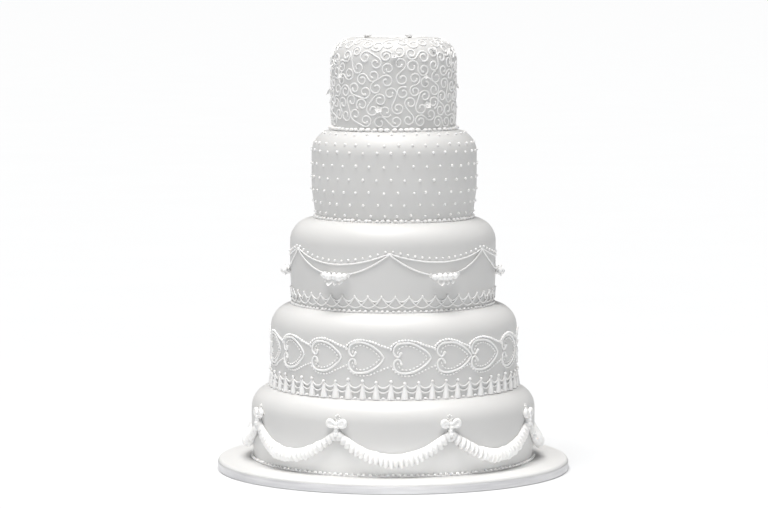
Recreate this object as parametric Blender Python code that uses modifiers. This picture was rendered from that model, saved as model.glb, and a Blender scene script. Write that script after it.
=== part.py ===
"""Five-tier round wedding cake on its iced board, piped in royal icing.

Metres, +Z up. The origin is the middle of the board's underside and the front faces -Y.
Angles round the cake are in degrees from the front, positive towards +X.
"""

import math
import random
from collections import namedtuple

import bmesh
import bpy
from mathutils import Matrix, Vector

GAP = 0.0003  # left between pieces that touch

# The board is an 18 inch drum, iced and edged with ribbon.
BOARD_RADIUS = 0.2286
BOARD_HEIGHT = 0.0150
BOARD_EDGE = 0.0034
BOARD_SEGMENTS = 48
RIBBON_THICKNESS = 0.0006
RIBBON_LOW, RIBBON_HIGH = 0.0008, 0.0108

# Cakes of 14, 12, 10, 8 and 6 inches under 5 to 8 mm of icing, bottom to top.
# They stand a little off each other's middles: shift is how far, towards +X.
Tier = namedtuple("Tier", "name height radius shoulder tuck shift segments")
TIERS = (
    Tier("tier_1_garlands", 0.0940, 0.1850, 0.028, 0.0030, 0.0, 44),
    Tier("tier_2_hearts", 0.1070, 0.1603, 0.030, 0.0012, 0.0010, 56),
    Tier("tier_3_sprays", 0.1115, 0.1340, 0.030, 0.0030, -0.0005, 36),
    Tier("tier_4_pearls", 0.1148, 0.1074, 0.030, 0.0058, 0.0013, 28),
    Tier("tier_5_scrolls", 0.1183, 0.0810, 0.030, 0.0008, 0.0002, 28),
)
TUCK_HEIGHT = 0.042  # the icing draws in below this height
TUCK_CURVE = 1.3
FOOT_BEAD = 0.0026  # the beaded border round each foot stands out this far
FOOT_BEAD_HEIGHT = 0.0046
SHOULDER_STEPS = 3

# Eight ruffled garlands hang between eight bows on the bottom tier.
GARLANDS = 8
GARLAND_RIBS = 16
GARLAND_PEAK, GARLAND_LOW = 0.0532, 0.0210
GARLAND_WIDTHS = 0.0045, 0.0098  # half its width at the ends and in the middle
GARLAND_DEPTHS = 0.0045, 0.0130
GARLAND_END = 0.965  # share of the half span that it reaches
BOW_HEIGHT = 0.0655
BOW_KNOT = 0.0038, 0.0030, 0.0104  # half sizes: along the wall, out of it, and up
BOW_LOOP = 0.0068, 0.0033, 0.0066
BOW_LOOP_PLACE = 0.0070, -0.0036, 0.0024

# Hearts lie on their sides round the second tier, above a fence of spikes.
HEARTS = 18
HEART_TURN = -4.8  # where the tip of the front heart points
HEART_HEIGHT = 0.0530
HEART_SIZE = 0.0480, 0.0376  # along the tier, and up it
HEART_POINTS = 10
HEART_LINE = 0.0014  # radius of the piped line
SPIKES = 56
SPIKE_HEIGHT = 0.0212
SPIKE_RADIUS = 0.0040

# Six sprays of petals hang on strings round the third tier.
SPRAYS = 6
SPRAY_TURN = 28.0
SPRAY_HEIGHT = 0.0444
SPRAY_BUDS = (-0.0120, 0.0016, 0.0066), (0.0, 0.0, 0.0082), (0.0124, 0.0018, 0.0066)  # along, up, size
BUD_SHAPE = 1.1, 0.66, 0.78  # half sizes for a bud of size one
SPRAY_PETAL_FOOT = 0.0009, -0.0056, 0.0030
SPRAY_PETAL_TIP = 0.0010, -0.0040, -0.0104
SPRAY_PETAL_RADIUS = 0.0042
SWAG_PEAK, SWAG_LOW = 0.0746, 0.0464
SWAG_END = 0.968  # share of the half span that a swag reaches
LINE = 0.0011  # radius of the piped lines on the third and the top tier

# Rows of pearls cover the fourth tier, and scrolls the top one.
PEARL_ROWS = 0.0225, 0.0546, 0.0862
PEARLS_A_ROW = 14
PEARL = 0.0019
SCROLL_ROWS = 0.020, 0.048, 0.076
SCROLLS_A_ROW = 6
SCROLL_SIZE = 0.0105
SCROLL_STEPS = 5
SCROLL_TURN = 1.5 * math.pi
SCROLL_WIND = 0.12  # how much tighter it winds at each step
BLOSSOM = 0.0036  # radius of a sugar blossom
BLOSSOM_RISE = 0.0036  # how far it stands out
SIDE_BLOSSOMS = 5
SIDE_BLOSSOM_TURN = 40.0
SIDE_BLOSSOM_HEIGHTS = 0.016, 0.034, 0.062
TOP_BLOSSOMS = 5
TOP_BLOSSOM_TURN = 30.0
TOP_BLOSSOM_RING = 0.040


def foot_heights():
    """Height of each tier's underside above the table."""
    feet, level = {}, BOARD_HEIGHT
    for tier in TIERS:
        feet[tier.name] = level + GAP
        level += GAP + tier.height
    return feet


FEET = foot_heights()


def side_radius(tier, height):
    """Radius of a tier's outline at a height above its foot."""
    shoulder_start = tier.height - tier.shoulder
    if height > shoulder_start:
        rise = min(height - shoulder_start, tier.shoulder)
        return tier.radius - tier.shoulder + math.sqrt(tier.shoulder**2 - rise**2)
    return tier.radius - tier.tuck * max(0.0, 1.0 - height / TUCK_HEIGHT) ** TUCK_CURVE


def wall_point(tier, angle, height, out=0.0):
    """A point on a tier's side, in world space, moved outwards by out."""
    turn = math.radians(angle)
    radius = side_radius(tier, height) + out
    return Vector((tier.shift + radius * math.sin(turn), -radius * math.cos(turn), FEET[tier.name] + height))


def wall_normal(tier, angle, height):
    """Outward normal of a tier's side, from the slope of its outline."""
    step = 0.0002
    slope = (side_radius(tier, height + step) - side_radius(tier, height - step)) / (2 * step)
    turn = math.radians(angle)
    return Vector((math.sin(turn), -math.cos(turn), -slope)).normalized()


def material(name, colour, roughness, metallic=0.0):
    made = bpy.data.materials.new(name)
    made.use_nodes = True
    shader = made.node_tree.nodes["Principled BSDF"]
    shader.inputs["Base Color"].default_value = (*colour, 1.0)
    shader.inputs["Roughness"].default_value = roughness
    shader.inputs["Metallic"].default_value = metallic
    return made


def add_object(name, mesh, collection, look=None):
    made = bpy.data.objects.new(name, mesh)
    collection.objects.link(made)
    if look and not mesh.materials:
        mesh.materials.append(look)
    return made


def mesh_from(shape, name):
    """Turns a bmesh into a mesh with its faces pointing out."""
    bmesh.ops.recalc_face_normals(shape, faces=shape.faces)
    mesh = bpy.data.meshes.new(name)
    shape.to_mesh(mesh)
    shape.free()
    return mesh


def evaluated_mesh(made, name):
    """The object's mesh with its modifiers applied."""
    bpy.context.view_layer.update()
    graph = bpy.context.evaluated_depsgraph_get()
    return bpy.data.meshes.new_from_object(made.evaluated_get(graph), depsgraph=graph)


def turned(name, outline, segments, collection, look):
    """A turned solid. The outline is (radius, height) pairs down its outer side, top to bottom."""
    mesh = bpy.data.meshes.new(name)
    mesh.from_pydata([(r, 0.0, z) for r, z in outline], [(i, i + 1) for i in range(len(outline) - 1)], [])
    made = add_object(name, mesh, collection, look)
    screw = made.modifiers.new("Turn", "SCREW")
    screw.steps = screw.render_steps = segments
    screw.use_merge_vertices = True
    screw.merge_threshold = 0.00001
    return made


def tier_outline(tier):
    """Half outline of a tier, from the middle of its top to the middle of its underside."""
    points = [(0.0, tier.height)]
    for step in range(SHOULDER_STEPS + 1):
        turn = math.radians(90.0 * (1.0 - step / SHOULDER_STEPS))
        out = tier.radius - tier.shoulder + tier.shoulder * math.cos(turn)
        up = tier.height - tier.shoulder + tier.shoulder * math.sin(turn)
        points.append((out, up))
    foot = side_radius(tier, 0.0)
    if tier.tuck > FOOT_BEAD:
        points.append((side_radius(tier, TUCK_HEIGHT / 2), TUCK_HEIGHT / 2))
    if tier is not TIERS[1]:
        points.append((foot, FOOT_BEAD_HEIGHT))
        foot += FOOT_BEAD
        points.append((foot, FOOT_BEAD_HEIGHT * 0.6))
    points.append((foot, 0.0))
    points.append((0.0, 0.0))
    return points


def fuse(body, pieces, name):
    """Joins the pieces of a collection to a body with one Boolean union, and removes them."""
    union = body.modifiers.new("Fuse", "BOOLEAN")
    union.operand_type = "COLLECTION"
    union.collection = pieces
    union.operation = "UNION"
    union.solver = "MANIFOLD"
    joined = evaluated_mesh(body, name)
    body.modifiers.clear()
    body.data = joined
    for piece in list(pieces.objects):
        bpy.data.objects.remove(piece)
    bpy.data.collections.remove(pieces)
    return body


def pieces_collection():
    made = bpy.data.collections.new("pieces")
    bpy.context.scene.collection.children.link(made)
    return made


def add_ball(pieces, middle, size):
    """A coarse egg with three half sizes."""
    shape = bmesh.new()
    bmesh.ops.create_icosphere(shape, subdivisions=1, radius=1.0)
    stretch = Matrix.Diagonal((*size, 1.0))
    bmesh.ops.transform(shape, matrix=Matrix.Translation(middle) @ stretch, verts=shape.verts)
    return add_object("ball", mesh_from(shape, "ball"), pieces)


def add_cone(pieces, foot, tip, radius):
    """A pointed four-sided cone from the middle of its foot to its tip, one of its edges facing out."""
    foot, tip = Vector(foot), Vector(tip)
    along = tip - foot
    shape = bmesh.new()
    bmesh.ops.create_cone(
        shape, cap_ends=True, segments=4, radius1=radius, radius2=0.0, depth=along.length
    )
    outwards = Matrix.Rotation(math.atan2(foot.y, foot.x), 4, "Z")
    lean = Vector((0.0, 0.0, 1.0)).rotation_difference(along).to_matrix().to_4x4()
    place = Matrix.Translation((foot + tip) / 2) @ lean @ outwards
    bmesh.ops.transform(shape, matrix=place, verts=shape.verts)
    return add_object("cone", mesh_from(shape, "cone"), pieces)


def add_line(pieces, points, radius, closed=False):
    """A piped line: a curve with a square bevel, made a mesh so that it can be joined."""
    curve = bpy.data.curves.new("line", "CURVE")
    curve.dimensions = "3D"
    curve.bevel_depth = radius
    curve.bevel_resolution = 0
    curve.use_fill_caps = True
    spline = curve.splines.new("POLY")
    spline.points.add(len(points) - 1)
    for place, point in zip(spline.points, points):
        place.co = (*point, 1.0)
    spline.use_cyclic_u = closed
    drawn = add_object("line", curve, pieces)
    mesh = evaluated_mesh(drawn, "line")
    bpy.data.objects.remove(drawn)
    shape = bmesh.new()
    shape.from_mesh(mesh)
    bmesh.ops.remove_doubles(shape, verts=shape.verts, dist=0.00001)
    return add_object("line", mesh_from(shape, "line"), pieces)


def build_board(cake, icing, satin):
    """The iced drum that the cake stands on, and the ribbon round its edge."""
    outline = [
        (0.0, BOARD_HEIGHT),
        (BOARD_RADIUS - BOARD_EDGE, BOARD_HEIGHT),
        (BOARD_RADIUS, BOARD_HEIGHT - BOARD_EDGE),
        (BOARD_RADIUS, 0.0),
        (0.0, 0.0),
    ]
    turned("cake_board", outline, BOARD_SEGMENTS, cake, icing)
    inner = BOARD_RADIUS + GAP
    outer = inner + RIBBON_THICKNESS
    band = [
        (inner, RIBBON_HIGH),
        (outer, RIBBON_HIGH),
        (outer, RIBBON_LOW),
        (inner, RIBBON_LOW),
        (inner, RIBBON_HIGH),
    ]
    turned("board_ribbon", band, BOARD_SEGMENTS, cake, satin)


def build_tier(tier, cake, icing):
    """A tier's smooth body, standing at its own height."""
    body = turned(tier.name, tier_outline(tier), tier.segments, cake, icing)
    body.location = (tier.shift, 0.0, FEET[tier.name])
    return body


def heart_outline(points):
    """Points of a heart lying on its side: (along, up) pairs, its tip at +1 along, in half sizes."""
    outline = []
    for step in range(points):
        turn = 2 * math.pi * step / points
        turn += 0.15 * math.sin(2 * turn)
        along = (13 * math.cos(turn) - 5 * math.cos(2 * turn) - 2 * math.cos(3 * turn) - math.cos(4 * turn)) / 14.5
        up = math.sin(turn) ** 3
        outline.append((-along - 0.17, up))
    return outline


def add_hearts(tier, pieces):
    """The outlines of the hearts, as raised lines."""
    half_length, half_height = HEART_SIZE[0] / 2, HEART_SIZE[1] / 2
    for heart in range(HEARTS):
        middle = HEART_TURN - math.degrees(half_length / tier.radius) + heart * 360.0 / HEARTS
        points = []
        for along, up in heart_outline(HEART_POINTS):
            angle = middle + math.degrees(along * half_length / tier.radius)
            points.append(wall_point(tier, angle, HEART_HEIGHT + up * half_height, out=0.0002))
        add_line(pieces, points, HEART_LINE, closed=True)


def add_spikes(tier, pieces):
    """The fence of upright spikes round the foot."""
    for spike in range(SPIKES):
        angle = (spike + 0.5) * 360.0 / SPIKES
        foot = wall_point(tier, angle, 0.0002, out=SPIKE_RADIUS / 2)
        tip = wall_point(tier, angle, SPIKE_HEIGHT, out=0.0003)
        add_cone(pieces, foot, tip, SPIKE_RADIUS)


def add_swags(tier, pieces):
    """The strings that hang between the peaks of the third tier, one above each spray."""
    half_span = 180.0 / SPRAYS
    for swag in range(SPRAYS):
        middle = SPRAY_TURN + swag * 2 * half_span
        points = []
        for step in range(-3, 4):
            share = step / 3 * SWAG_END
            height = SWAG_LOW + (SWAG_PEAK - SWAG_LOW) * share**2
            points.append(wall_point(tier, middle + share * half_span, height, out=0.0001))
        add_line(pieces, points, LINE)


def add_pearl(pieces, tier, angle, height):
    """A pearl with its pole facing out from the wall."""
    shape = bmesh.new()
    bmesh.ops.create_uvsphere(shape, u_segments=4, v_segments=4, radius=PEARL)
    facing = wall_normal(tier, angle, height).to_track_quat("Z", "Y").to_matrix().to_4x4()
    place = Matrix.Translation(wall_point(tier, angle, height, out=-0.0003)) @ facing
    bmesh.ops.transform(shape, matrix=place, verts=shape.verts)
    add_object("pearl", mesh_from(shape, "pearl"), pieces)


def add_pearls(tier, pieces):
    """Rows of pearls, each row half a step round from the last."""
    for row, height in enumerate(PEARL_ROWS):
        for pearl in range(PEARLS_A_ROW):
            add_pearl(pieces, tier, (pearl + row % 2 / 2 + 0.25) * 360.0 / PEARLS_A_ROW, height)


def add_scrolls(tier, pieces):
    """Curled lines in rows round the top tier, turned this way and that by a seeded draw."""
    draw = random.Random(6)
    for row, height in enumerate(SCROLL_ROWS):
        for scroll in range(SCROLLS_A_ROW):
            angle = (scroll + row % 2 / 2) * 360.0 / SCROLLS_A_ROW
            start, hand = draw.uniform(0, 2 * math.pi), draw.choice((-1, 1))
            points = []
            for step in range(SCROLL_STEPS + 1):
                turn = start + hand * SCROLL_TURN * step / SCROLL_STEPS
                reach = SCROLL_SIZE * (1.0 - SCROLL_WIND * step)
                along = math.degrees(reach * math.cos(turn) / tier.radius)
                points.append(wall_point(tier, angle + along, height + reach * math.sin(turn), out=0.0001))
            add_line(pieces, points, LINE)


def add_blossoms(tier, pieces):
    """Small sugar blossoms, low on the side and in a ring on the top."""
    for blossom in range(SIDE_BLOSSOMS):
        angle = SIDE_BLOSSOM_TURN + blossom * 360.0 / SIDE_BLOSSOMS
        middle = wall_point(tier, angle, SIDE_BLOSSOM_HEIGHTS[blossom % len(SIDE_BLOSSOM_HEIGHTS)])
        ball = add_ball(pieces, (0.0, 0.0, 0.0), (BLOSSOM, BLOSSOM_RISE, BLOSSOM))
        ball.data.transform(Matrix.Translation(middle) @ Matrix.Rotation(math.radians(angle), 4, "Z"))
    for blossom in range(TOP_BLOSSOMS):
        turn = math.radians(TOP_BLOSSOM_TURN + blossom * 360.0 / TOP_BLOSSOMS)
        middle = (tier.shift + TOP_BLOSSOM_RING * math.sin(turn), -TOP_BLOSSOM_RING * math.cos(turn))
        add_ball(pieces, (*middle, FEET[tier.name] + tier.height), (BLOSSOM, BLOSSOM, BLOSSOM_RISE))


def garland_section(tier, angle, height, lean, ridge, share):
    """Four points of a garland's section: two against the wall and two in front of it."""
    grow = math.cos(share * math.pi / 2) ** 0.8
    half_width = GARLAND_WIDTHS[0] + (GARLAND_WIDTHS[1] - GARLAND_WIDTHS[0]) * grow
    depth = GARLAND_DEPTHS[0] + (GARLAND_DEPTHS[1] - GARLAND_DEPTHS[0]) * grow
    depth *= 1.0 if ridge else 0.74
    low = -1.0 if ridge else -0.76
    points = []
    for out, up in ((0.0, 0.95), (0.88, 0.30), (0.88, low), (0.0, low * 0.86)):
        rise = up * half_width * math.cos(lean)
        along = -up * half_width * math.sin(lean)
        turn = angle + math.degrees(along / tier.radius)
        points.append(wall_point(tier, turn, height + rise, out=GAP * 1.6 + out * depth))
    return points


def loft(sections, name):
    """Skins a row of matching sections and closes both ends."""
    shape = bmesh.new()
    rings = [[shape.verts.new(point) for point in section] for section in sections]
    count = len(rings[0])
    for first, second in zip(rings, rings[1:]):
        for i in range(count):
            shape.faces.new((first[i], first[(i + 1) % count], second[(i + 1) % count], second[i]))
    shape.faces.new(rings[0])
    shape.faces.new(reversed(rings[-1]))
    return mesh_from(shape, name)


def build_garland(tier, number, cake, icing):
    """One ruffled garland, a ridge and a groove for each rib."""
    half_span = 180.0 / GARLANDS
    middle = (number - 1) * 2 * half_span
    steps = GARLAND_RIBS * 2
    sections = []
    for step in range(steps + 1):
        share = (2.0 * step / steps - 1.0) * GARLAND_END
        height = GARLAND_LOW + (GARLAND_PEAK - GARLAND_LOW) * share**2
        slope = 2 * (GARLAND_PEAK - GARLAND_LOW) * share / (math.radians(half_span) * tier.radius)
        angle = middle + share * half_span
        sections.append(garland_section(tier, angle, height, math.atan(slope), step % 2, share))
    name = f"garland_{number}"
    return add_object(name, loft(sections, name), cake, icing)


def fused_mesh(body, pieces, name):
    """The mesh of a small ornament whose pieces are joined, for use again and again."""
    pieces.objects.unlink(body)
    bpy.context.scene.collection.objects.link(body)
    fuse(body, pieces, name)
    mesh = body.data
    mesh.name = name
    bpy.data.objects.remove(body)
    return mesh


def bow_mesh():
    """A piped bow: two round loops and a knot that runs on in a tail. Its back is at Y = 0."""
    pieces = pieces_collection()
    along, out, up = BOW_LOOP_PLACE
    knot = add_ball(pieces, (0.0, out, up), BOW_KNOT)
    for side in (-1, 1):
        add_ball(pieces, (side * along, out, up), BOW_LOOP)
    return fused_mesh(knot, pieces, "bow")


def spray_mesh(tier):
    """A spray of plump buds side by side with a pointed petal hanging below, bent round the tier."""
    pieces = pieces_collection()
    balls = []
    for along, up, size in SPRAY_BUDS:
        back = along**2 / (2 * tier.radius)
        middle = (along, back - size * 0.70, up)
        balls.append(add_ball(pieces, middle, [size * share for share in BUD_SHAPE]))
    add_cone(pieces, SPRAY_PETAL_FOOT, SPRAY_PETAL_TIP, SPRAY_PETAL_RADIUS)
    return fused_mesh(balls[1], pieces, "spray")


def place_on_wall(made, tier, angle, height):
    """Stands an object against a tier's wall with its back to it."""
    made.location = wall_point(tier, angle, height, out=GAP)
    made.rotation_euler = (0.0, 0.0, math.radians(angle))


def main():
    for old in list(bpy.data.objects):
        bpy.data.objects.remove(old)
    cake = bpy.data.collections.new("wedding_cake")
    bpy.context.scene.collection.children.link(cake)
    fondant = material("fondant", (0.84, 0.835, 0.82), 0.42)
    royal = material("royal_icing", (0.90, 0.895, 0.88), 0.6)
    satin = material("ribbon_satin", (0.78, 0.78, 0.80), 0.3)

    build_board(cake, fondant, satin)
    bodies = {tier.name: build_tier(tier, cake, fondant) for tier in TIERS}
    toppings = (
        (TIERS[1], (add_hearts, add_spikes)),
        (TIERS[2], (add_swags,)),
        (TIERS[3], (add_pearls,)),
        (TIERS[4], (add_scrolls, add_blossoms)),
    )
    for tier, makers in toppings:
        pieces = pieces_collection()
        for add in makers:
            add(tier, pieces)
        fuse(bodies[tier.name], pieces, tier.name)

    for number in range(1, GARLANDS + 1):
        build_garland(TIERS[0], number, cake, royal)
    bow = bow_mesh()
    for number in range(1, GARLANDS + 1):
        made = add_object(f"bow_{number}", bow.copy(), cake, royal)
        place_on_wall(made, TIERS[0], (number - 0.5) * 360.0 / GARLANDS, BOW_HEIGHT)
    spray = spray_mesh(TIERS[2])
    for number in range(1, SPRAYS + 1):
        made = add_object(f"spray_{number}", spray.copy(), cake, royal)
        place_on_wall(made, TIERS[2], SPRAY_TURN + (number - 1) * 360.0 / SPRAYS, SPRAY_HEIGHT)
    for made in cake.objects:
        made.data.shade_smooth()
        if made.data.polygons:
            made.data.set_sharp_from_angle(angle=math.radians(35.0))


main()
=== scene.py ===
import math
from collections import namedtuple

import bpy
import numpy as np
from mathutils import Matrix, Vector


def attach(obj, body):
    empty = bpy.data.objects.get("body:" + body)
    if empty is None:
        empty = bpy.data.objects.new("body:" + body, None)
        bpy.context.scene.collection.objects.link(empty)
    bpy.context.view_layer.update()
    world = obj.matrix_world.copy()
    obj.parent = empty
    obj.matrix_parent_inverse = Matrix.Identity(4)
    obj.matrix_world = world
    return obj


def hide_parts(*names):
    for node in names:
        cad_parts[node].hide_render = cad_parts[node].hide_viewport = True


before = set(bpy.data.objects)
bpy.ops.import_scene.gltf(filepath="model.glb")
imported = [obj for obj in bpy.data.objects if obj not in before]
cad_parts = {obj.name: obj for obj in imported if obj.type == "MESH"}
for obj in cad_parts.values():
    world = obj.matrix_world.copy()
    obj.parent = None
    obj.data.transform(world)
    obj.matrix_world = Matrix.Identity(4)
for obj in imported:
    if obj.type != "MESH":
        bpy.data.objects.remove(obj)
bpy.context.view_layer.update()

# Sizes in metres. Angles in degrees from the front, positive towards +X.
# GAP is the space between bodies. A border is the number of its beads and half their height.
GAP = 0.0003
BOARD_RADIUS, BOARD_HEIGHT = 0.2286, 0.0150
BOARD_RIM, BOARD_RIM_DROP = 0.0048, 0.0042
RIBBON_LOW, RIBBON_HIGH, RIBBON_THICKNESS = 0.0006, 0.0105, 0.0004
TUCK_HEIGHT, TUCK_CURVE = 0.042, 1.3
Tier = namedtuple("Tier", "name height radius shoulder tuck shift")
TIERS = (
    Tier("tier_1_garlands", 0.0940, 0.1850, 0.028, 0.0030, 0.0),
    Tier("tier_2_hearts", 0.1070, 0.1603, 0.030, 0.0012, 0.0010),
    Tier("tier_3_sprays", 0.1115, 0.1340, 0.030, 0.0030, -0.0005),
    Tier("tier_4_pearls", 0.1148, 0.1074, 0.030, 0.0058, 0.0013),
    Tier("tier_5_scrolls", 0.1183, 0.0810, 0.030, 0.0008, 0.0002),
)
BOTTOM, HEARTS_TIER, SPRAYS_TIER, PEARLS_TIER, TOP = TIERS

# The top tier: scrolls all over, sugar blossoms and a shell border.
SCROLL_LINE = 0.00086
SCROLL_GAP = 0.0126
SCROLLS_LOW, SCROLLS_HIGH = 0.0120, 0.1190
LID_REACH = 0.0440
TOP_SHELLS, TOP_SHELL = 61, 0.0027
# Blossoms on the side: angle, distance up the outline, length of a petal.
SIDE_BLOSSOMS = (
    (-70.0, 0.083, 0.0040), (-53.0, 0.070, 0.0046), (-13.0, 0.027, 0.0054), (0.5, 0.0955, 0.0050),
    (29.4, 0.069, 0.0036), (30.8, 0.0325, 0.0054), (40.4, 0.105, 0.0036), (78.0, 0.055, 0.0050),
    (108.0, 0.028, 0.0052), (124.0, 0.078, 0.0046), (150.0, 0.045, 0.0054), (176.0, 0.090, 0.0048),
    (187.0, 0.026, 0.0052), (215.0, 0.064, 0.0044), (236.0, 0.100, 0.0050), (252.0, 0.034, 0.0052),
    (269.0, 0.0465, 0.0050),
)
# Blossoms on the lid: place to the right and back of its middle.
LID_BLOSSOMS = ((-0.034, -0.018), (0.020, -0.036), (0.019, 0.034), (-0.033, 0.016))

# The fourth tier: rows of pearls, each half a step round from the last.
PEARLS_A_ROW, ROW_TURN = 36, 2.6
PEARL_ROWS = (0.0086, 0.0222, 0.0382, 0.0543, 0.0714, 0.0888, 0.0993, 0.1157)
PEARL = (0.0018, 0.0018, 0.0017)
PEARLS_BORDER = (84, 0.0026)

# The third tier: swags over six sprays, and scalloped strings round the foot.
SPRAYS, SPRAY_TURN, SPRAY_HEIGHT = 6, 28.0, 0.0444
SWAG_PEARLS, PEARLS_ABOVE, SWAG_PEARL = 15, 0.0048, 0.0015
UPPER_STRING, LOWER_STRING = 0.00085, 0.00095
Swag = namedtuple("Swag", "left height upper_sag lower_sag")
SWAGS = (
    Swag(-2.0, 0.0752, 0.0124, 0.0287),
    Swag(58.0, 0.0770, 0.0134, 0.0306),
    Swag(118.0, 0.0746, 0.0118, 0.0280),
    Swag(178.0, 0.0750, 0.0124, 0.0276),
    Swag(237.5, 0.0746, 0.0132, 0.0304),
    Swag(295.5, 0.0770, 0.0160, 0.0288),
)
SCALLOPS, SCALLOP_TURN = 48, 1.2
SCALLOP_TOP, SCALLOP_SAGS, SCALLOP_STRINGS = 0.0200, (0.0062, 0.0140), (0.00086, 0.00082)
SCALLOP_PEARL = (0.0014, 0.0018, 0.0014)
SPRAYS_BORDER = (116, 0.0021)
SPRAY_BUDS = (
    (-0.0138, 0.0012, 0.0052),
    (-0.0073, 0.0012, 0.0060),
    (-0.0004, 0.0002, 0.0063),
    (0.0067, 0.0006, 0.0062),
    (0.0134, 0.0013, 0.0052),
)
# Each petal: sideways and upward place, the way it points (degrees from straight up), length.
HANGING_PETALS = (
    (-0.0122, -0.0012, 206, 0.0076),
    (-0.0060, -0.0030, 188, 0.0100),
    (0.0028, -0.0034, 178, 0.0084),
    (0.0096, -0.0026, 166, 0.0080),
)
RISING_PETALS = (
    (-0.0104, 0.0034, 22, 0.0050),
    (-0.0036, 0.0036, 4, 0.0054),
    (0.0036, 0.0036, -8, 0.0054),
    (0.0102, 0.0034, -24, 0.0050),
)
END_PETALS = ((-0.0158, 0.0022, 82, 0.0070), (0.0158, 0.0022, -80, 0.0070))
# Each group of petals, how far they tip up in radians, and how far out they are.
SPRAY_PETALS = ((HANGING_PETALS, 0.45, 0.0046), (RISING_PETALS, 0.75, 0.0040), (END_PETALS, 0.2, 0.0030))
# How far each spray hangs below the even height, and how long its lower petals are.
SPRAY_DROPS = (0.0, 0.0022, 0.0008, 0.0, 0.0022, 0.0)
SPRAY_HANGS = (1.0, 0.55, 0.95, 0.8, 0.5, 1.0)

# The second tier: hearts on their sides, beaded inside and out, above a fence of spikes.
HEARTS, HEART_TIP = 18, 16.4
HEART_HEIGHT, HEART_HALF, HEART_LINE = 0.0530, (0.0232, 0.0190), 0.00125
INNER_GAP, INNER_BEAD = 0.0047, 0.00098
HEART_DRIFT = {14: -1.4, 15: -1.9, 16: -1.1, 17: -1.2, 0: 0.2, 1: 0.9, 2: -1.2}
UPPER_LOBE = (
    (-0.60, 0.30), (-0.66, 0.14), (-0.76, 0.07), (-0.89, 0.15), (-0.98, 0.36), (-0.97, 0.56), (-0.90, 0.78),
    (-0.72, 0.95), (-0.42, 1.01), (-0.06, 0.97), (0.32, 0.80), (0.68, 0.50), (0.88, 0.26), (1.0, 0.03),
)
UPPER_INNER = (
    (-0.76, 0.38), (-0.72, 0.56), (-0.56, 0.73), (-0.34, 0.80), (-0.10, 0.77), (0.20, 0.62), (0.50, 0.38),
    (0.74, 0.10),
)
UPPER_CHAIN = (
    (0.0, 0.57), (0.01, 0.78), (0.10, 1.01), (0.22, 1.14), (0.37, 1.18), (0.52, 1.10), (0.64, 1.0),
    (0.75, 0.86), (0.88, 0.73), (1.0, 0.62),
)
LOWER_CHAIN = (
    (0.0, -0.56), (0.03, -0.71), (0.09, -0.93), (0.24, -1.17), (0.44, -1.19), (0.58, -1.08), (0.69, -0.93),
    (0.80, -0.78), (0.91, -0.65), (1.0, -0.56),
)
# Each chain: its line, half a bead's height, and the distance between beads.
CHAINS = ((UPPER_CHAIN, 0.00145, 0.0041), (LOWER_CHAIN, 0.00112, 0.0045))
SPIKES, FENCE_TURN = 56, 1.5
SPIKE_HEIGHTS = (0.0, 0.0008, 0.0030, 0.0065, 0.0100, 0.0135, 0.0170, 0.0198, 0.0208)
SPIKE_GIRTHS = (0.0047, 0.0048, 0.0046, 0.0040, 0.0033, 0.0026, 0.0021, 0.0017, 0.0006)
SPIKE_PEARL_HEIGHT, SPIKE_PEARL, FOOT_BEAD = 0.0227, (0.0021, 0.0021, 0.0019), (0.0026, 0.0017, 0.0018)
FENCE_STRINGS, FENCE_SAG, FENCE_STRING = (0.0202, 0.0142), 0.0052, 0.00092

# The bottom tier: eight ruffled garlands hung from eight bows.
GARLANDS, GARLAND_RIBS = 8, 24
GARLAND_PEAK, GARLAND_LOW = 0.0532, 0.0210
# Half width and depth of a garland at its ends, and how much they grow towards its middle.
GARLAND_WIDTHS, GARLAND_DEPTHS = (0.0056, 0.0033), (0.0046, 0.0088)
# How deep the creases between the ribs are at the top of each garland, as a share of its depth.
GARLAND_CREASES = (0.06, 0.34, 0.12, 0.06, 0.20, 0.08, 0.26, 0.12)
BOTTOM_BORDER = (154, 0.0020)
BOW_HEIGHT, BOW_LINE = 0.0655, 0.0024
GARLAND_SECTION = (
    (0.0, 0.92), (0.30, 0.96), (0.60, 0.80), (0.86, 0.46), (1.0, 0.0), (0.97, -0.45), (0.82, -0.80),
    (0.58, -1.0), (0.36, -0.96), (0.15, -0.78), (0.0, -0.60),
)
BOW_LOOP = (
    (0.0012, -0.0030), (0.0030, 0.0006), (0.0058, 0.0038), (0.0092, 0.0048), (0.0114, 0.0022),
    (0.0108, -0.0016), (0.0080, -0.0034), (0.0046, -0.0034), (0.0014, -0.0040),
)
BOW_STEM = (
    (0.0, 0.0004, 0.0028, 0.0032), (0.0, -0.0040, 0.0033, 0.0034), (-0.0002, -0.0084, 0.0037, 0.0036),
    (-0.0004, -0.0126, 0.0041, 0.0038),
)
BOW_CREST = (
    (0.0, 0.0112, 0.0012), (-0.0024, 0.0096, 0.0011), (0.0026, 0.0094, 0.0011), (-0.0030, 0.0068, 0.0011),
    (0.0028, 0.0066, 0.0011), (-0.0014, 0.0044, 0.0012), (0.0014, 0.0043, 0.0012),
)

# The camera: a long lens a little above the top of the cake, looking down five degrees.
CAMERA_DISTANCE, CAMERA_HEIGHT, CAMERA_ACROSS = 4.2, 0.6464, -0.0120
PIXELS_A_METRE, FRAME_WIDTH = 770.0, 768.0
HORIZON_ROW, MIDDLE_ROW = -28.0, 254.0
FLOOR_REACH = 400.0
# Narrow lights near the floor: angle from the front and energy of each, then what they share.
FOOT_STRIPS = ((-52.0, 0.0070), (0.0, 0.0110), (50.0, 0.0055))
STRIP_DISTANCE, STRIP_HEIGHT, STRIP_SIZE, STRIP_SPREAD = 0.5, 0.026, (0.46, 0.014), 12.0

rng = np.random.default_rng(14)


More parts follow.
